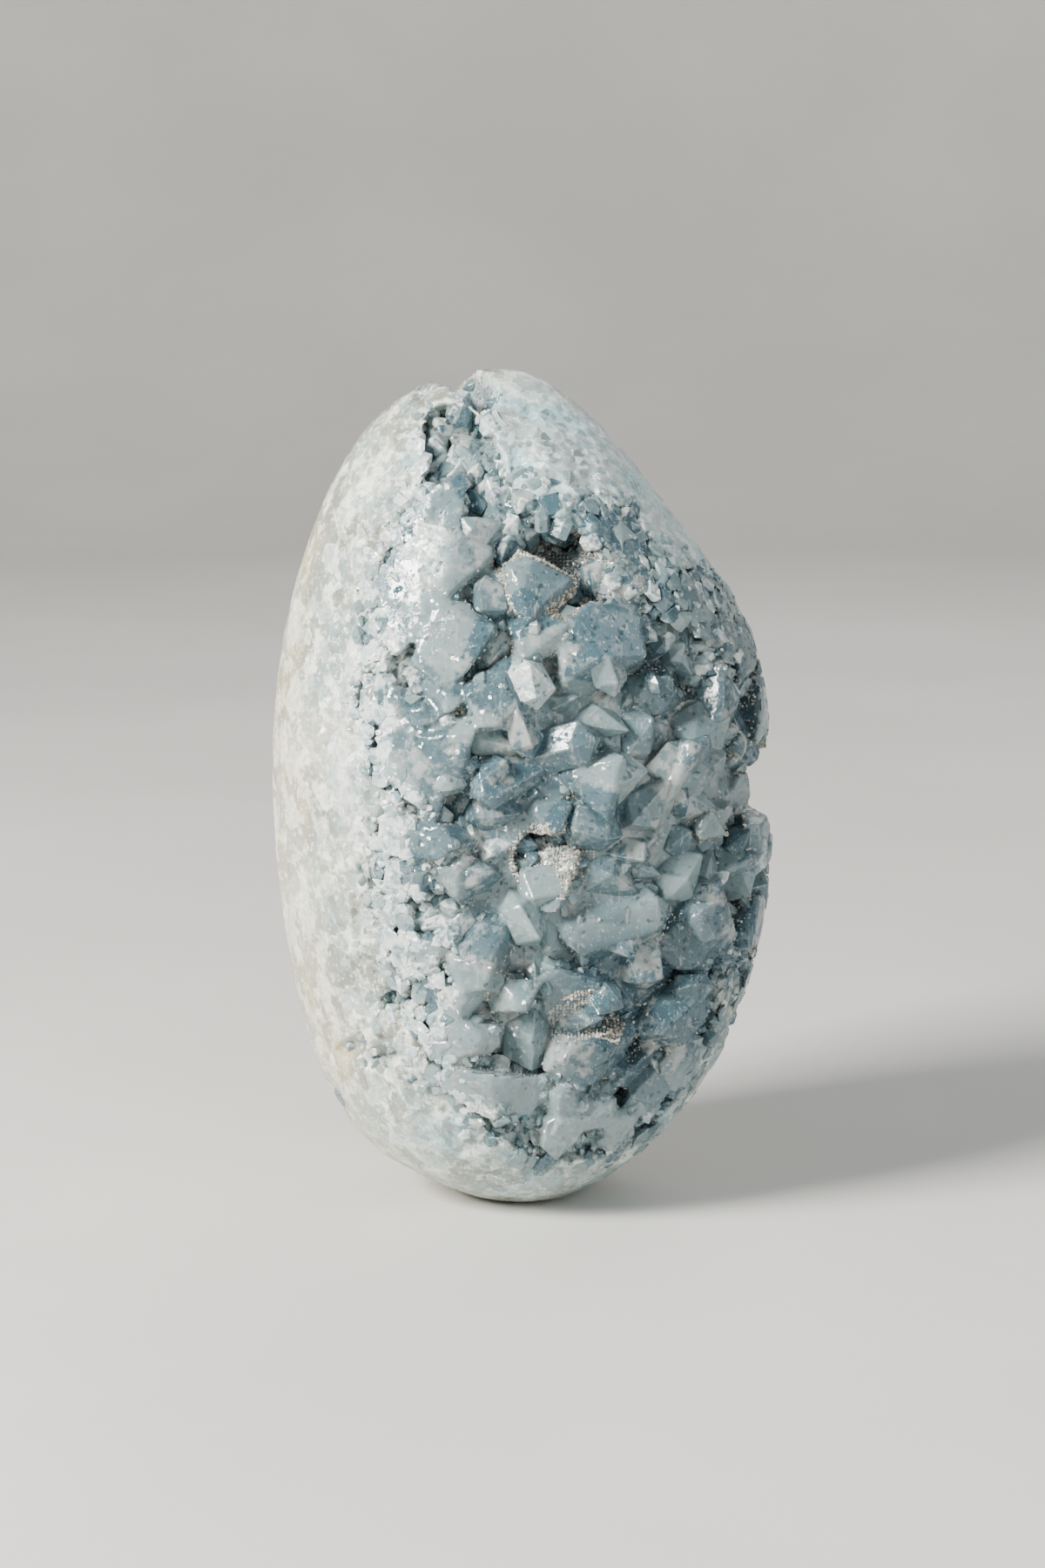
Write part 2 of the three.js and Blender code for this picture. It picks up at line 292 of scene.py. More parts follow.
def brokenSkin(mesh):
    # polished far from the hollow, broken into small flat faces beside it
    places, outward = points(mesh), normals(mesh)
    under = distances(eggTree, places)
    near = distances(crustTree, places)
    tones, grainTones = np.zeros(len(places)), np.zeros(len(places))
    for i, p in enumerate(places):
        here = Vector(p)
        closeness = max(0.0, 1 - near[i] / stoneLook["fadeOut"])
        patch = 0.5 + 0.9 * noise.noise(here / (13 * mm))
        big, tones[i] = facetDrop(here, stoneLook["blocks"], 1.6)
        small, grainTones[i] = facetDrop(here, stoneLook["grain"], 1.5)
        drop = stoneLook["blockRelief"] * big * closeness ** 1.6
        drop += stoneLook["grainRelief"] * small * (0.22 + closeness * max(0.15, patch))
        if p[2] > 1.0 * mm:
            places[i] -= outward[i] * drop
    setPoints(mesh, places)
    storeValues(mesh, "fromCrystals", near)
    storeValues(mesh, "underSkin", under)
    storeValues(mesh, "tone", tones)
    storeValues(mesh, "grainTone", grainTones)
    x, y, z = places.T / mm
    wobble = np.array([noise.noise(Vector(p) / (9 * mm)) for p in places]) * 2.2
    # crystals are cut at the upper right and, less, round the foot; a vein runs up the left
    cut = smooth(x + 3 * wobble, -14, 4) * smooth(z + 4 * wobble, 60, 85)
    cut = cut * smooth(y + 4 * wobble, 14, -10)
    cut += 0.45 * smooth(z, 34, 12) * smooth(y + 3 * wobble, 12, -8)
    vein = np.exp(-((x + 24.3 + wobble) / 1.7) ** 2)
    vein = vein * smooth(z, 48, 58) * smooth(z, 86, 74) * (y < 0)
    storeValues(mesh, "cutSide", cut)
    storeValues(mesh, "vein", vein)
    return under, near


def stoneMaterial():
    material, tree, shader = newMaterial("polished_celestite_stone")
    place = objectPlace(tree)
    tone, grainTone = attribute(tree, "tone"), attribute(tree, "grainTone")
    cutSide = attribute(tree, "cutSide")
    nearby = ramped(tree, attribute(tree, "fromCrystals"), 0.0, 20 * mm, 1.0, 0.0)
    inside = ramped(tree, attribute(tree, "underSkin"), 1.2 * mm, 3.0 * mm)
    broad = cloud(tree, place, 55.0, 5.0)
    middle = cloud(tree, place, 230.0, 5.0, 0.62)
    fine = cloud(tree, place, 1200.0, 4.0, 0.7)
    grainy = calc(tree, "ADD", times(tree, middle, 0.75), times(tree, grainTone, 0.25))
    skin = mixed(tree, ramped(tree, grainy, 0.44, 0.56), stoneLook["grey"], stoneLook["white"])
    skin = mixed(tree, ramped(tree, broad, 0.48, 0.68, 0.0, 0.4), skin, stoneLook["white"])
    # blue where cut crystals reach the skin
    cutShare = ramped(tree, cutSide, 0.0, 1.0, 0.55, 1.5)
    reached = calc(tree, "MAXIMUM", ramped(tree, nearby, 0.15, 0.75), times(tree, cutSide, 0.9))
    blueShare = times(tree, ramped(tree, tone, 0.22, 0.42), reached)
    blueShare = times(tree, blueShare, ramped(tree, middle, 0.60, 0.40, 0.2, 0.85))
    blueShare = calc(tree, "MINIMUM", times(tree, blueShare, cutShare), 1.0)
    skin = mixed(tree, blueShare, skin, stoneLook["blue"])
    dull = times(tree, ramped(tree, grainTone, 0.62, 0.75), ramped(tree, nearby, 0.1, 0.7, 0.25, 0.75))
    skin = mixed(tree, dull, skin, stoneLook["dull"])
    # one white vein, and a warm rind away from the crystals
    stretched = vectors(tree, "MULTIPLY", {0: place, 1: stoneLook["upright"]})
    streaks = cloud(tree, stretched, 330.0, 5.0, 0.6)
    veinShare = times(tree, attribute(tree, "vein"), ramped(tree, streaks, 0.36, 0.58))
    skin = mixed(tree, veinShare, skin, stoneLook["vein"])
    rindShare = times(tree, ramped(tree, nearby, 0.5, 0.02), ramped(tree, streaks, 0.38, 0.62, 0.35, 1.0))
    rindShare = times(tree, rindShare, ramped(tree, cutSide, 0.1, 0.8, 1.0, 0.25))
    rindShare = times(tree, rindShare, ramped(tree, broad, 0.60, 0.42, 0.35, 1.0))
    skin = mixed(tree, rindShare, skin, stoneLook["rind"])
    # fine grain over everything
    skin = mixed(tree, ramped(tree, fine, 0.53, 0.68, 0.0, 0.7), skin, stoneLook["brightGrain"])
    skin = mixed(tree, ramped(tree, fine, 0.48, 0.34, 0.0, 0.75), skin, stoneLook["darkGrain"])
    skin = mixed(tree, ramped(tree, cutSide, 0.1, 0.9, 0.0, 0.4), skin, stoneLook["cutCrystal"])
    skin = mixed(tree, inside, skin, stoneLook["hollow"])
    tree.links.new(skin, shader.inputs["Base Color"])
    tree.links.new(ramped(tree, middle, 0.3, 0.7, 0.22, 0.5), shader.inputs["Roughness"])
    relief = calc(tree, "ADD", cloud(tree, place, 650.0, 5.0, 0.65), times(tree, middle, 0.8))
    leaning = glints(tree, place, 1.1 * mm, ramped(tree, nearby, 0.0, 1.0, 0.10, 0.75))
    bumped(tree, shader, relief, 0.45, 0.3 * mm, leaning)
    shader.inputs["IOR"].default_value = refraction
    return material


stone = remeshed("polished_stone", stoneSolid, stoneLook["voxel"])
stoneUnder, stoneNear = brokenSkin(stone.data)
stonePlaces, stoneNormals = points(stone.data), normals(stone.data)
stone.data.materials.append(stoneMaterial())
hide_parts("geode_stone")
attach(stone, "root")
print("stone", len(stone.data.polygons), "faces")

# Crystals of the hollow
crystalLook = {
    "voxel": 0.505 * mm,
    "ripple": 0.08 * mm,  # unevenness of the faces
    "clear": (0.19, 0.32, 0.38, 1),
    "milky": (0.56, 0.71, 0.73, 1),
    # painted shade colour: enclosed faces of the crystals are darkened towards it
    "deep": (0.13, 0.20, 0.24, 1),
    "veil": (0.62, 0.76, 0.77, 1),
    "frost": (0.82, 0.88, 0.855, 1),
    "absorb": (0.46, 0.66, 0.76, 1),
    "absorbPerMetre": 55.0,
    "transmission": 0.6,
    "frostedClear": 0.25,
    "cleavageTurn": (0.5, 0.7, 0.3),
    "cleavageDraw": (1.0, 1.0, 0.12),
    "frostedAbove": 0.6,  # share of frost from which a face counts as frosted
}


def growthRelief(mesh):
    # faces of a grown crystal are never quite flat
    places, outward = points(mesh), normals(mesh)
    for i, p in enumerate(places):
        step = noise.noise(Vector(p) / (2.4 * mm)) + 0.6 * noise.noise(Vector(p) / (1.0 * mm))
        places[i] += outward[i] * crystalLook["ripple"] * (step - 1.0)
    setPoints(mesh, places)


def rimShare(places, fromStone):
    # crystals turn white and sugary towards the stone, most of all on the left
    left = smooth(-places[:, 0], -16 * mm, 14 * mm)
    return (1 - smooth(fromStone, 0.4 * mm, 5.5 * mm)) * (0.1 + 0.75 * left)


def milkiness(place, chance):
    # tone runs towards the dark clear colour low on the right, and towards the pale milky colour at the
    # foot and low on the left
    x, _, z = np.array(place) / mm
    clearing = smooth(x, 2, 12) * smooth(z, 50, 40) * smooth(z, 18, 28)
    pale = max(smooth(z, 26, 16), smooth(x, 6, -4) * smooth(z, 46, 36))
    return chance * (1 - 0.8 * clearing) + (1 - chance) * 0.7 * pale


def crystalMaterial(name, frosted):
    material, tree, shader = newMaterial(name)
    place = objectPlace(tree)
    tone, free = attribute(tree, "tone"), attribute(tree, "open")
    edge, frost = attribute(tree, "edge"), attribute(tree, "frost")
    broad, middle = cloud(tree, place, 120.0, 5.0, 0.6), cloud(tree, place, 420.0, 5.0, 0.62)
    fine = cloud(tree, place, 1500.0, 3.0, 0.6)
    # painted highlight along standing edges, partly frosted wear: edge brightness is mixed into the frost
    # white below
    edgeWearAndHighlight = times(tree, ramped(tree, edge, 0.12, 0.3), ramped(tree, middle, 0.35, 0.6, 0.4, 1.0))
    colour = mixed(tree, ramped(tree, tone, 0.1, 0.9), crystalLook["clear"], crystalLook["milky"])
    colour = mixed(tree, ramped(tree, middle, 0.54, 0.66, 0.0, 0.5), colour, crystalLook["veil"])
    patches = times(tree, ramped(tree, broad, 0.53, 0.60), ramped(tree, middle, 0.42, 0.54, 0.0, 0.9))
    sugar = times(tree, ramped(tree, frost, 0.1, 0.8), ramped(tree, middle, 0.38, 0.58, 0.15, 0.95))
    colour = mixed(tree, calc(tree, "MAXIMUM", patches, sugar), colour, crystalLook["frost"])
    # painted shade: faces that few rays leave, by the open share, are darkened towards the deep colour
    colour = mixed(tree, ramped(tree, free, 0.5, 0.12, 0.0, 0.8), colour, crystalLook["deep"])
    # cleavage shows as thin bright lines inside
    drawn = {"Rotation": crystalLook["cleavageTurn"], "Scale": crystalLook["cleavageDraw"]}
    slanted = node(tree, "ShaderNodeMapping", {"Vector": place, **drawn}).outputs[0]
    lines = ramped(tree, cloud(tree, slanted, 1100.0, 4.0, 0.65), 0.60, 0.68, 0.0, 0.75)
    specks = calc(tree, "MAXIMUM", lines, ramped(tree, fine, 0.60, 0.68, 0.0, 0.9))
    bright = calc(tree, "MAXIMUM", edgeWearAndHighlight, specks)
    colour = mixed(tree, bright, colour, crystalLook["frost"])
    tree.links.new(colour, shader.inputs["Base Color"])
    roughLow, roughHigh = (0.22, 0.42) if frosted else (0.07, 0.2)
    tree.links.new(ramped(tree, broad, 0.35, 0.65, roughLow, roughHigh), shader.inputs["Roughness"])
    leaning = glints(tree, place, 0.5 * mm, 0.6 if frosted else 0.04, 0.9)
    height = calc(tree, "ADD", middle, times(tree, broad, 1.5))
    bumped(tree, shader, height, 0.35, 0.4 * mm, leaning)
    shader.inputs["IOR"].default_value = refraction
    clearness = crystalLook["frostedClear"] if frosted else crystalLook["transmission"]
    shader.inputs["Transmission Weight"].default_value = clearness
    soaking = {"Color": crystalLook["absorb"], "Density": crystalLook["absorbPerMetre"]}
    soak = node(tree, "ShaderNodeVolumeAbsorption", soaking).outputs[0]
    tree.links.new(soak, tree.nodes["Material Output"].inputs["Volume"])
    return material


def frostShare(places, free, rim):
    # sugar-white along the rim, breaking up towards the middle
    spots = [Vector(p) for p in places]
    patch = np.array([noise.noise(p / (6 * mm)) + 0.6 * noise.noise(p / (2 * mm)) for p in spots])
    high = smooth(places[:, 2], 76 * mm, 88 * mm)
    return np.clip(rim * (1.1 - 0.7 * high) + patch * 0.6 - 0.2, 0, 1) * smooth(free, 0.2, 0.4)


crystals = remeshed("celestite_crystals", crustSolid, crystalLook["voxel"])
growthRelief(crystals.data)
crystalPlaces, crystalNormals = points(crystals.data), normals(crystals.data)
crystalUnder = distances(eggTree, crystalPlaces)
crystalFromStone = distances(stoneTree, crystalPlaces)
crystalOpen = openness(crystalPlaces, crystalNormals, 12, 14 * mm, 5)
crystalRim = rimShare(crystalPlaces, crystalFromStone)
crystalEdge = edginess(crystals.data, crystalPlaces, crystalNormals)
storeValues(crystals.data, "edge", crystalEdge)
storeValues(crystals.data, "open", crystalOpen)
crystalBlocks = [noise.voronoi(Vector(p) / (9 * mm))[1][0] for p in crystalPlaces]
crystalChance = [noise.cell_vector(block * 5.1)[0] for block in crystalBlocks]
crystalTone = [milkiness(p, chance) for p, chance in zip(crystalPlaces, crystalChance)]
storeValues(crystals.data, "tone", crystalTone)
blueCelestite = crystalMaterial("blue_celestite", False)
whiteCelestite = crystalMaterial("frosted_celestite", True)
crystals.data.materials.append(blueCelestite)
crystals.data.materials.append(whiteCelestite)
crystalFrost = frostShare(crystalPlaces, crystalOpen, crystalRim)
storeValues(crystals.data, "frost", crystalFrost)
firstCorner = np.array([face.vertices[0] for face in crystals.data.polygons])
frostedFaces = crystalFrost[firstCorner] > crystalLook["frostedAbove"]
crystals.data.polygons.foreach_set("material_index", frostedFaces.astype(np.int32))
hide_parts("crystal_crust")
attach(crystals, "root")
print("crystals", len(crystals.data.polygons), "faces")

# Small crystals on the bed between the large ones, and cut ones along the rim
smallLook = {
    "shapes": 16,
    "onBed": 230,
    "bedHalf": (2.4 * mm, 5.4 * mm),
    "inJoints": 520,
    "jointHalf": (0.6 * mm, 1.7 * mm),
    "onWall": 500,
    "wallHalf": (0.9 * mm, 2.2 * mm),
    "plugTries": 40000,
    # clear crystals in the channel and the recesses: right, height, half width, depth
    "channel": (
        (-8.6, 113, 2.6, 0.8), (-9.8, 110, 2.8, 0.6), (-7, 109.6, 2.6, 1.2),
        (-8.4, 106.4, 3.2, 0.6), (-10.6, 105.2, 2.6, 1.0), (-6.2, 104.6, 2.8, 0.8),
        (-9, 102.4, 3.0, 0.9), (-11.4, 113.6, 2.0, 0.6), (-6.4, 114, 2.0, 0.6),
        (-12.8, 111.2, 2.4, 0.5), (-13, 108.2, 2.6, 0.5), (-12.4, 105, 2.4, 0.6),
        (-12.4, 114.6, 2.2, 0.4), (-12.8, 112.6, 2.4, 0.4), (-10.4, 115.4, 2.0, 0.8),
        (4.4, 55.6, 3.4, 2.6), (1.8, 54, 2.4, 2.4), (10.5, 93.5, 2.8, 3.4),
        (0.6, 56.2, 2.8, 1.8), (5.6, 57.6, 2.4, 2.4),
    ),
    # kept free of small crystals: centre and half sizes
    "notches": (((-10, 8, 121), (2.2, 22, 5)), ((39.5, 0, 59), (7.5, 18, 6))),
    "recesses": (
        ((6, -23, 94.5), (9, 10, 7.5)), ((4, -25, 54.5), (5, 10, 4.5)), ((9, -24, 31), (4.5, 9, 4)),
    ),
    "onRim": 2600,
    "rimHalf": (0.5 * mm, 1.7 * mm),
    "overSkin": 0.05 * mm,  # a crystal that would stand higher is polished down with the skin
    "wear": 0.035,  # bevel of a stub's edges, as a share of its half width
    "edgeWearAndHighlightShare": 0.17,  # how brightly those bevels are painted, partly as frosted wear, partly as painted highlight
}


def inRound(places, at, size):
    return np.linalg.norm((places / mm - at) / size, axis=1) < 1


def inAny(places, rounds):
    return any(inRound(places, at, size).any() for at, size in rounds)


def stubShape(rng):
    # a six-sided stub with a chisel crown, its edges slightly worn
    bm = bmesh.new()
    for x, y in ((1, 0), (0.5, 0.72), (-0.5, 0.72), (-1, 0), (-0.5, -0.72), (0.5, -0.72)):
        x, y = x * rng.uniform(0.8, 1.1), y * rng.uniform(0.75, 1.15)
        bm.verts.new((x, y, -0.9))
        bm.verts.new((x, y, rng.uniform(0.25, 0.7)))
    slant = rng.uniform(-0.25, 0.25)
    bm.verts.new((0.5, rng.uniform(-0.15, 0.15), 1 + slant))
    bm.verts.new((-0.5, rng.uniform(-0.15, 0.15), 1 - slant))
    bmesh.ops.convex_hull(bm, input=bm.verts)
    bmesh.ops.delete(bm, geom=[v for v in bm.verts if not v.link_faces], context="VERTS")
    bmesh.ops.dissolve_limit(bm, angle_limit=0.06, verts=bm.verts, edges=bm.edges)
    edgeWearAndHighlight = bmesh.ops.bevel(bm, geom=bm.edges[:], offset=smallLook["wear"], segments=1, affect="EDGES",
                           clamp_overlap=True)
    for face in edgeWearAndHighlight["faces"]:
        face.material_index = 1
    bmesh.ops.triangulate(bm, faces=bm.faces[:])
    bm.verts.index_update()
    corners = np.array([[v.index for v in f.verts] for f in bm.faces])
    places = np.array([v.co for v in bm.verts])
    edges = np.array([smallLook["edgeWearAndHighlightShare"] * f.material_index for f in bm.faces])
    bm.free()
    return places, corners, edges


def scattered(name, shapes, spots, seed, lean, sunk, tall):
    # spots are (place, outward, half width, values by attribute name)
    rng = random.Random(seed)
    verts, faces, edges, frosted, kept, count = [], [], [], [], [], 0
    for place, outward, half, values in spots:
        shape, shapeFaces, shapeEdges = rng.choice(shapes)
        up = Vector(outward)
        turn = up.to_track_quat("Z", "Y").to_matrix()
        turn = turn @ Matrix.Rotation(rng.uniform(-lean, lean), 3, "X")
        turn = turn @ Matrix.Rotation(rng.uniform(-lean, lean), 3, "Y")
        turn = turn @ Matrix.Rotation(rng.uniform(0, 2 * math.pi), 3, "Z")
        size = np.array((half, half * rng.uniform(0.7, 1.0), half * rng.uniform(*tall)))
        placed = (shape * size) @ np.array(turn).T + place - np.array(up) * half * rng.uniform(*sunk)
        for k, corner in enumerate(placed):
            foot, skinNormal, _, _ = eggTree.find_nearest(Vector(corner))
            over = (Vector(corner) - foot).dot(skinNormal) - smallLook["overSkin"]
            if over > 0:
                placed[k] = corner - np.array(skinNormal) * over
        if (placed < np.array(cadBox[0])).any() or (placed > np.array(cadBox[1])).any():
            continue
        if inAny(placed, smallLook["notches"]):
            continue
        verts.append(placed)
        faces.append(shapeFaces + count)
        edges.append(shapeEdges)
        white = values.get("rim", 0) * 1.1 + 0.06 > rng.random()
        frosted.append(np.full(len(shapeFaces), white))
        kept.append(({**values, "frost": 1.0 * white}, len(shape)))
        count += len(shape)
    mesh = bpy.data.meshes.new(name)
    mesh.from_pydata(np.concatenate(verts).tolist(), [], np.concatenate(faces).tolist())
    for key in kept[0][0]:
        storeValues(mesh, key, np.concatenate([np.full(n, values[key]) for values, n in kept]))
    storeValues(mesh, "edge", np.concatenate(edges), "FACE")
    return makeObject(name, mesh), np.concatenate(frosted).astype(np.int32)


def spotsFrom(places, outward, weights, count, half, values, seed):
    rng = random.Random(seed)
    chosen = rng.choices(range(len(places)), weights=weights.tolist(), k=count)
    spots = []
    for i in chosen:
        width = rng.uniform(*half)
        spots.append((places[i], outward[i], width, {"tone": rng.random(), **values(i)}))
    return spots


def spaced(spots, share):
    # larger ones first; one that would sit inside another is dropped
    kept, centres, halves = [], np.empty((0, 3)), np.empty(0)
    for spot in sorted(spots, key=lambda spot: -spot[2]):
        if (np.linalg.norm(centres - spot[0], axis=1) < share * (halves + spot[2])).any():
            continue
        kept.append(spot)
        centres, halves = np.vstack((centres, spot[0])), np.append(halves, spot[2])
    return kept


def towardsFocus(outward):
    # the crystals of the hollow all lean a little towards its open side
    mixedWay = outward + np.array((0.42, -0.9, 0.0)) * 0.7
    return mixedWay / np.linalg.norm(mixedWay, axis=1)[:, None]


def bedSpots():
    # broad bare faces get the larger ones, joints the smaller
    exposed = crystalOpen > 0.2
    flat = smooth(plainness(crystalPlaces, crystalEdge, exposed), 0.4 * mm, 1.8 * mm)
    bare = flat * exposed * (0.05 + smooth(crystalUnder, 1.6 * mm, 3.6 * mm))
    toneRng = random.Random(41)

    def values(i):
        tone = milkiness(crystalPlaces[i], toneRng.random())
        return {"open": min(1.0, crystalOpen[i] + 0.25), "rim": crystalRim[i] * 0.6, "tone": tone}

    ways = towardsFocus(crystalNormals)
    spots = spotsFrom(crystalPlaces, ways, bare, smallLook["onBed"],
                      smallLook["bedHalf"], values, 31)
    joints = np.clip(-crystalEdge, 0, 1) * (crystalOpen > 0.15) * (crystalUnder > 1.0 * mm)
    spots += spotsFrom(crystalPlaces, ways, joints, smallLook["inJoints"],
                       smallLook["jointHalf"], values, 36)
    spots = spaced(spots, 0.5)
    print(len(spots), "young crystals")
    return spots


def rimSpots():
    def seam(gap):
        return np.exp(-gap / (0.8 * mm))

    def stoneSide(i):
        return {"open": 0.8, "rim": 0.08 + 0.45 * smooth(-stonePlaces[i][0], -16 * mm, 14 * mm)}

    def crystalSide(i):
        return {"open": 0.8, "rim": crystalRim[i]}

    def wallSide(i):
        return {"open": 0.7, "rim": 0.6 * smooth(-stonePlaces[i][0], 0, 14 * mm)}

    half = smallLook["rimHalf"]
    onStone = (stoneUnder < 0.6 * mm) * seam(stoneNear)
    spots = spotsFrom(stonePlaces, stoneNormals, onStone, smallLook["onRim"] // 2, half, stoneSide, 32)
    onCrystals = (crystalUnder < 1.5 * mm) * (crystalOpen > 0.2) * seam(crystalFromStone)
    spots += spotsFrom(crystalPlaces, crystalNormals, onCrystals, smallLook["onRim"] // 2,
                       half, crystalSide, 33)
    bareWall = (stoneUnder > 0.6 * mm) * (stoneNear > 0.6 * mm) * (stonePlaces[:, 2] > 5 * mm)
    spots += spotsFrom(stonePlaces, stoneNormals, bareWall.astype(float), smallLook["onWall"],
                       smallLook["wallHalf"], wallSide, 37)
    return spaced(spots, 0.42)


def plugSpots():
    # milky crystals in the gaps that reach down between stone and crust along the rim
    rng = random.Random(39)
    spots = []
    faces = list(eggSolid.faces)
    areas = [face.calc_area() for face in faces]
    for face in rng.choices(faces, weights=areas, k=smallLook["plugTries"]):
        share = sorted((rng.random(), rng.random()))
        corners = [v.co for v in face.verts][:3]
        skin = corners[0] * share[0] + corners[1] * (share[1] - share[0])
        skin = skin + corners[2] * (1 - share[1])
        inward = -face.normal
        start = skin + inward * 0.02 * mm
        met = [tree.ray_cast(start, inward) for tree in (stoneTree, crustTree)]
        depth = min((hit[3] for hit in met if hit[0]), default=0) / mm
        toStone, toCrust = stoneTree.find_nearest(skin)[3], crustTree.find_nearest(skin)[3]
        if depth < 1.2 or toStone > 4.5 * mm or toCrust > 5 * mm or skin.z < 6 * mm:
            continue
        if inAny(np.array([skin]), smallLook["recesses"]):
            continue
        half = min(2.6, max(0.8, 0.45 * depth))
        place = skin + inward * min(depth - 0.3 * half, 0.7 + half) * mm
        left = smooth(-skin.x, -10 * mm, 14 * mm)
        values = {"open": 0.75, "rim": 0.1 + 0.4 * left, "tone": rng.random()}
        spots.append((np.array(place), np.array(face.normal), half * mm, values))
    print(len(spots), "gaps plugged")
    return spaced(spots, 0.24)


def channelSpots():
    # clear crystals that fill the narrow channel under the notch, seen from the front
    rng = random.Random(38)
    spots = []
    for x, z, half, sunk in smallLook["channel"]:
        front = Vector((x * mm, -0.1, z * mm))
        skin, skinNormal, _, _ = eggTree.ray_cast(front, Vector((0, 1, 0)))
        place = np.array(skin - skinNormal * (half + sunk) * mm)
        values = {"open": 0.55, "rim": 0.0, "tone": rng.uniform(0, 0.4)}
        spots.append((place, np.array(skinNormal), half * mm, values))
    return spots


shapeRng = random.Random(30)
stubs = [stubShape(shapeRng) for _ in range(smallLook["shapes"])]
youngCrystals = scattered("young_crystals", stubs, bedSpots(), 34, 0.4, (0.3, 0.7), (0.9, 1.3))
rimCrystals = scattered("rim_crystals", stubs, rimSpots(), 35, 0.5, (0.35, 0.8), (0.8, 1.1))
seamSpots = plugSpots() + channelSpots()
seamCrystals = scattered("seam_crystals", stubs, seamSpots, 42, 0.5, (0.35, 0.8), (0.8, 1.1))
for piece, frosted in (youngCrystals, rimCrystals, seamCrystals):
    piece.data.materials.append(blueCelestite)
    piece.data.materials.append(whiteCelestite)
    piece.data.polygons.foreach_set("material_index", frosted)
    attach(piece, "root")
    print(piece.name, len(piece.data.polygons), "faces")

# Druse: tiny glinting grains in the recesses and along the joints
druseLook = {
    "count": 17000,
    "half": (0.14 * mm, 0.40 * mm),
    "dark": (0.34, 0.30, 0.24, 1),
    "light": (0.86, 0.84, 0.78, 1),
    "blue": (0.40, 0.50, 0.55, 1),
    "transmission": 0.2,
    "onWall": 2600,
    "shapes": 24,
    # where the grains lie thickest: centre and half sizes
    "pockets": (
        ((6, -23, 94.5), (10, 12, 8.5)), ((4, -25, 54.5), (6, 12, 5.5)), ((9, -24, 31), (5.5, 11, 5)),
    ),
}


def grainShape(rng):
    # an eight-faced grain with a skewed point
    ring = []
    for k in range(4):
        turn = k * math.pi / 2 + rng.uniform(-0.3, 0.3)
        ring.append((math.cos(turn), math.sin(turn), rng.uniform(-0.25, 0.25)))
    tip = (rng.uniform(-0.3, 0.3), rng.uniform(-0.3, 0.3), rng.uniform(0.9, 1.4))
    faces = [(0, 1, 4), (1, 2, 4), (2, 3, 4), (3, 0, 4), (1, 0, 5), (2, 1, 5), (3, 2, 5), (0, 3, 5)]
    return np.array(ring + [tip, (0, 0, -0.8)]), np.array(faces), np.zeros(8)


def druseSpots():
    def plain(i):
        return {}

    half = druseLook["half"]
    pocketed = sum(inRound(crystalPlaces, at, size) for at, size in druseLook["pockets"])
    deep = pocketed * 2.5 + np.clip(0.6 - crystalOpen, 0, 1) + 2.5 * smooth(-crystalEdge, 0.05, 0.35)
    deep = deep * (crystalUnder > 1.0 * mm) * (crystalOpen > 0.06)
    spots = spotsFrom(crystalPlaces, crystalNormals, deep, druseLook["count"], half, plain, 21)
    inPocket = sum(inRound(stonePlaces, at, size) for at, size in druseLook["pockets"])
    bare = (stoneUnder > 1.5 * mm) * (stoneNear > 0.8 * mm) * (0.15 + 3 * inPocket)
    return spots + spotsFrom(stonePlaces, stoneNormals, bare, druseLook["onWall"], half, plain, 23)


def druseMaterial():
    material, tree, shader = newMaterial("glinting_druse")
    tone = attribute(tree, "tone")
    place = objectPlace(tree)
    colour = mixed(tree, ramped(tree, tone, 0.1, 0.95), druseLook["dark"], druseLook["light"])
    bluish = ramped(tree, cloud(tree, place, 60.0), 0.45, 0.65, 0.0, 0.6)
    colour = mixed(tree, bluish, colour, druseLook["blue"])
    tree.links.new(colour, shader.inputs["Base Color"])
    tree.links.new(ramped(tree, tone, 0.0, 1.0, 0.06, 0.3), shader.inputs["Roughness"])
    shader.inputs["IOR"].default_value = refraction
    shader.inputs["Transmission Weight"].default_value = druseLook["transmission"]
    return material


grainRng = random.Random(40)
grains = [grainShape(grainRng) for _ in range(druseLook["shapes"])]
druse, _ = scattered("recess_druse", grains, druseSpots(), 22, 0.7, (0.0, 0.5), (0.8, 1.2))
druse.data.materials.append(druseMaterial())
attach(druse, "root")
print("druse", len(druse.data.polygons), "faces")

# Floor, light and camera
studio = {
    "floor": (0.66, 0.655, 0.635, 1),
    "floorLight": (0.70, 0.695, 0.675, 1),
    "turns": 72,
    # name, place, size, power, colour
    "lights": (
        ("key", (-0.62, -0.42, 0.52), 0.3, 16.0, (1.0, 0.97, 0.92)),
        ("fill", (0.6, -0.5, 0.3), 0.6, 1.8, (0.92, 0.96, 1.0)),
        ("back", (0.25, 0.55, 0.6), 0.5, 1.6, (1.0, 0.98, 0.95)),
    ),
    "lightAim": (0, 0, 0.06),
    "world": 0.25,
    "worldColour": (0.86, 0.90, 0.94, 1),
    "distance": 0.533,
    "elevation": 10.0,
    "aim": 0.0604,
    "lens": 85.0,
}


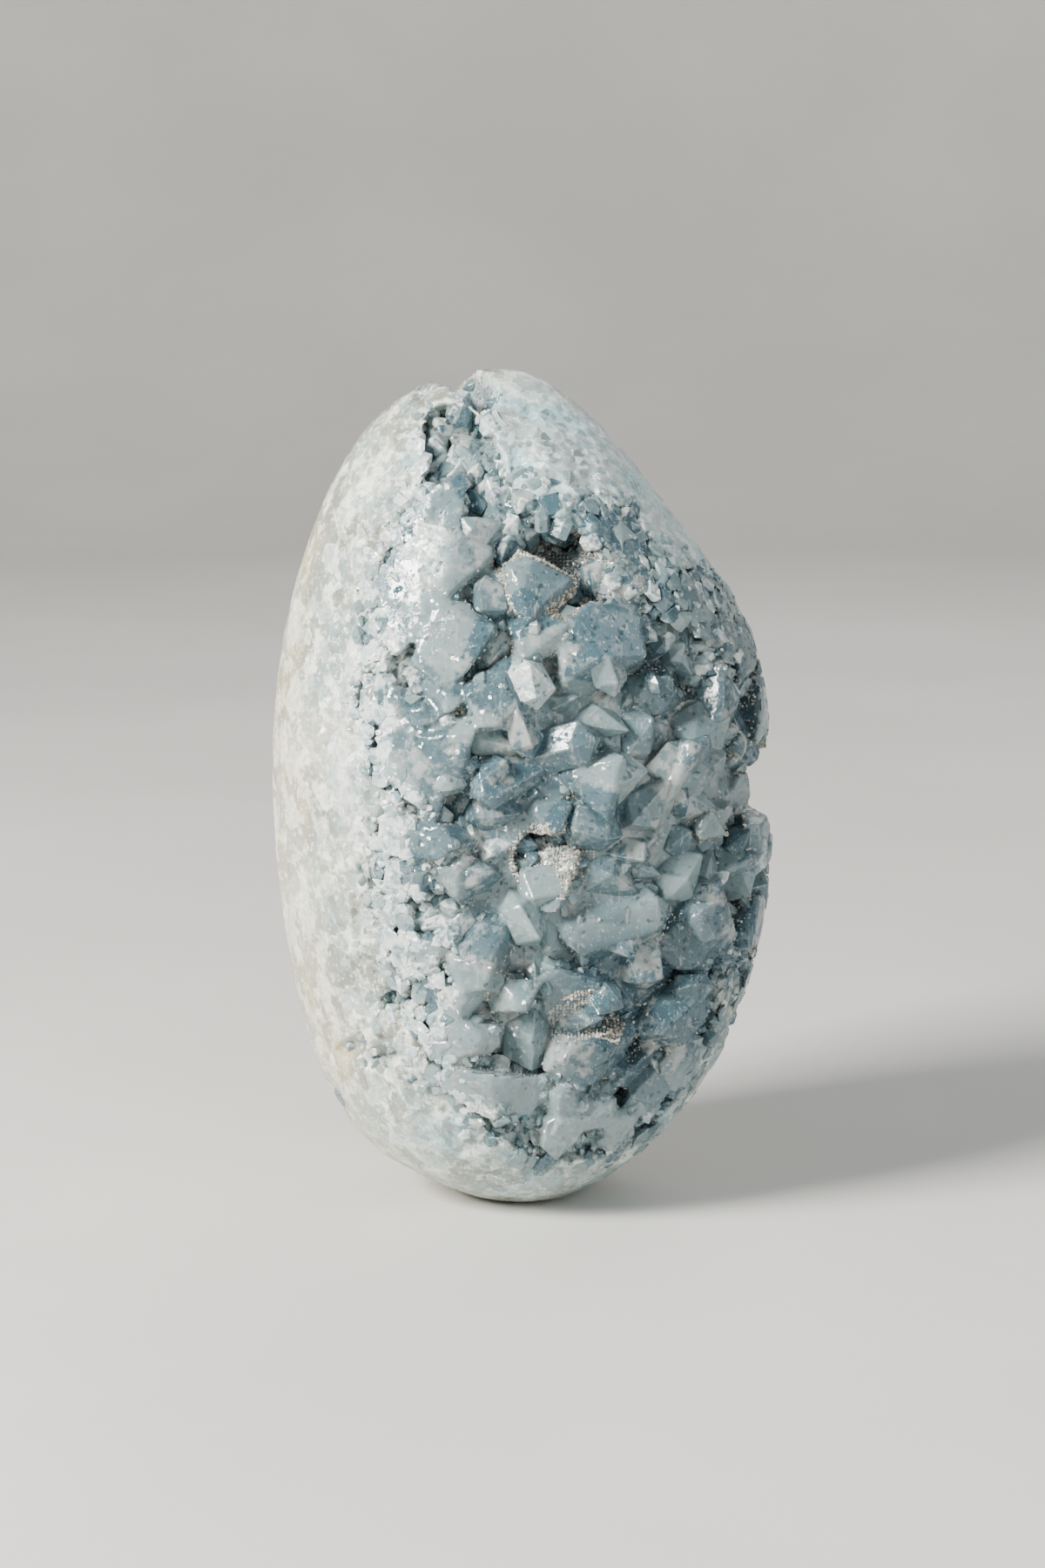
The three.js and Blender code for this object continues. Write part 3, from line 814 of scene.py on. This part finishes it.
def sweptFloor():
    # a flat floor that curves up into a plain round wall
    around = studio["turns"]
    profile = [(0.001, 0.0), (0.3, 0.0), (0.85, 0.0)]
    for k in range(1, 13):
        rise = k * math.pi / 24
        profile.append((0.85 + 0.4 * math.sin(rise), 0.4 - 0.4 * math.cos(rise)))
    profile.append((1.25, 0.55))
    turns = [2 * math.pi * k / around for k in range(around)]
    verts = [(r * math.cos(a), r * math.sin(a), z) for r, z in profile for a in turns]
    faces = []
    for k in range(len(profile) - 1):
        for i in range(around):
            low, high = around * k, around * (k + 1)
            faces.append((low + i, low + (i + 1) % around, high + (i + 1) % around, high + i))
    mesh = bpy.data.meshes.new("studio_floor")
    mesh.from_pydata(verts, [], faces)
    mesh.shade_smooth()
    floor = makeObject("studio_floor", mesh)
    material, tree, shader = newMaterial("pale_floor")
    mottle = ramped(tree, cloud(tree, objectPlace(tree), 9.0, 6.0), 0.35, 0.7)
    colour = mixed(tree, mottle, studio["floor"], studio["floorLight"])
    tree.links.new(colour, shader.inputs["Base Color"])
    shader.inputs["Roughness"].default_value = 0.7
    mesh.materials.append(material)


def areaLight(name, place, size, power, colour):
    light = bpy.data.lights.new(name, "AREA")
    light.energy = power
    light.size = size
    light.color = colour
    made = makeObject(name, light)
    made.location = place
    towards = Vector(studio["lightAim"]) - Vector(place)
    made.rotation_euler = towards.to_track_quat("-Z", "Y").to_euler()


def studioCamera():
    tilt = math.radians(studio["elevation"])
    data = bpy.data.cameras.new("camera")
    data.sensor_fit = "VERTICAL"
    data.sensor_height = 36.0
    data.lens = studio["lens"]
    made = makeObject("camera", data)
    aim = Vector((0, 0, studio["aim"]))
    made.location = aim + Vector((0, -math.cos(tilt), math.sin(tilt))) * studio["distance"]
    made.rotation_euler = (aim - made.location).to_track_quat("-Z", "Y").to_euler()
    scene.camera = made


sweptFloor()
for light in studio["lights"]:
    areaLight(*light)
world = bpy.data.worlds.new("soft_room")
scene.world = world
world.use_nodes = True
sky = world.node_tree.nodes["Background"]
sky.inputs[0].default_value = studio["worldColour"]
sky.inputs[1].default_value = studio["world"]
studioCamera()
scene.view_settings.look = "AgX - Medium High Contrast"
print("studio ready")

for spare in (stoneSolid, crustSolid, eggSolid):
    spare.free()
